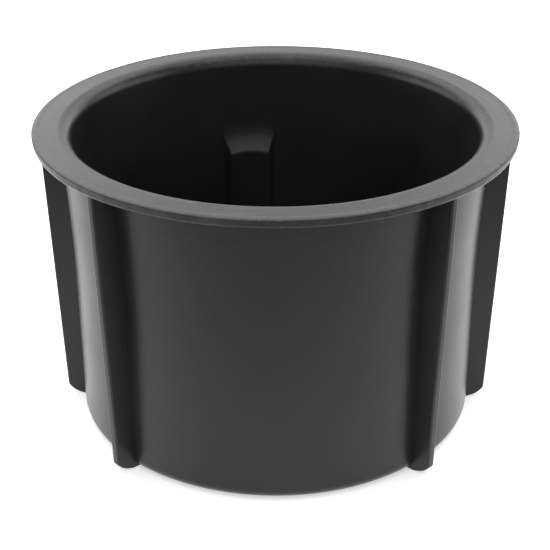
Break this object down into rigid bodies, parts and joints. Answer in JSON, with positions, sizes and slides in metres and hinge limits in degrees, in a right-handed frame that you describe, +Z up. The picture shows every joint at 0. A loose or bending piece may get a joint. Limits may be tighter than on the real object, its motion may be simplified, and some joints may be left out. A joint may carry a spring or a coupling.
{
  "type": "console cup holder insert",
  "caption": "Round drop-in cup with a flat flange, a rolled mouth, upright outer ribs and a ramped inner pad, made to seat in a console well.",
  "frame": {"origin": "centre of the foot's underside, on the axis of the cup", "axes": "+Z up along the axis of the cup, -Y to the front, midway between the two front ribs"},
  "size_m": [0.0966, 0.0964, 0.063],
  "materials": {
    "moulding": "satin black moulded, fine grain"
  },
  "bodies": {
    "root": {"cup_insert": "moulding"}
  },
  "joints": []
}
